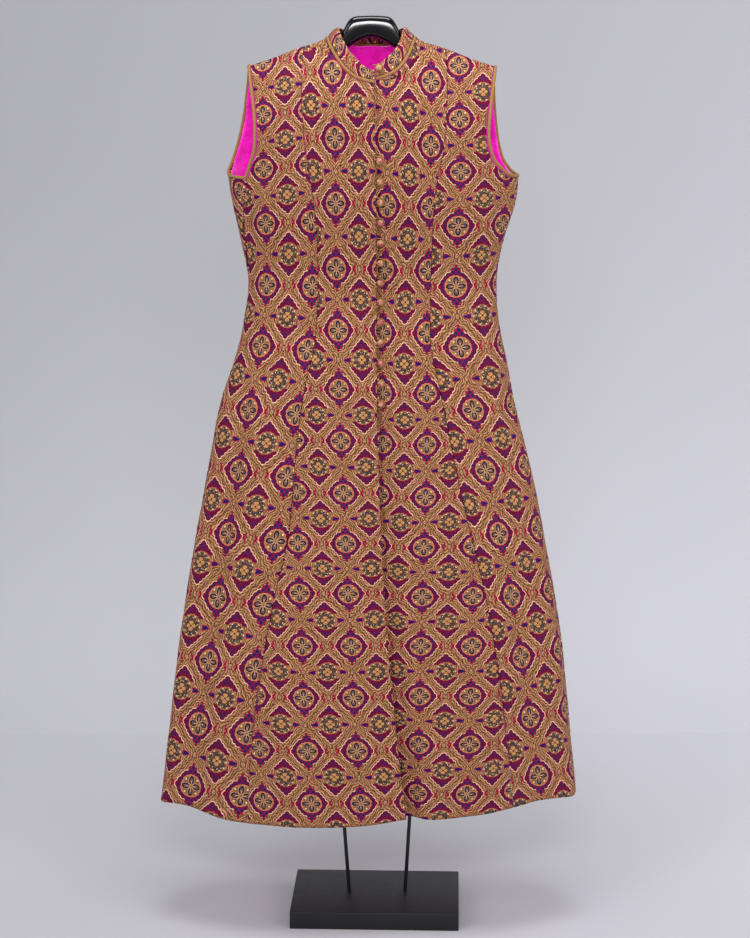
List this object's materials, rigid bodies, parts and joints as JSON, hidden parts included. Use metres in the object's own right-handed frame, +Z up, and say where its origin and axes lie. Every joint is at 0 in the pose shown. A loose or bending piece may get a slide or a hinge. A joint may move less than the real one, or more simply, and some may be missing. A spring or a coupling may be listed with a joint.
{
  "type": "embroidered robe on a display stand",
  "caption": "Long sleeveless embroidered robe with a standing collar and ball buttons, hung on a rod display stand.",
  "frame": {"origin": "middle of the underside of the stand's base", "axes": "+Z up; -Y is the front of the robe, where the buttons are; +X is the wearer's left"},
  "size_m": [0.72, 0.2894, 1.5385],
  "materials": {
    "brocade": "satin brocade with raised metal-thread embroidery",
    "piping": "dull gold cord",
    "lining": "smooth silk",
    "button": "cloth-covered balls",
    "form": "high gloss",
    "rod": "satin black",
    "base": "satin black paint over fibre board"
  },
  "bodies": {
    "root": {"front_right": "brocade", "front_left": "brocade", "side_front_right": "brocade", "side_front_left": "brocade", "back": "brocade", "lining_back": "lining", "collar": "brocade", "collar_piping": "piping", "armhole_piping_right": "piping", "armhole_piping_left": "piping", "button_01": "button", "button_02": "button", "button_03": "button", "button_04": "button", "button_05": "button", "button_06": "button", "button_07": "button", "button_08": "button", "button_09": "button", "button_10": "button", "button_11": "button", "button_12": "button", "button_13": "button", "button_14": "button", "loop_01": "piping", "loop_02": "piping", "loop_03": "piping", "loop_04": "piping", "loop_05": "piping", "loop_06": "piping", "loop_07": "piping", "loop_08": "piping", "loop_09": "piping", "loop_10": "piping", "loop_11": "piping", "loop_12": "piping", "loop_13": "piping", "loop_14": "piping", "shoulder_form": "form", "stand_rod_right": "rod", "stand_rod_left": "rod", "stand_base": "base"}
  },
  "joints": []
}
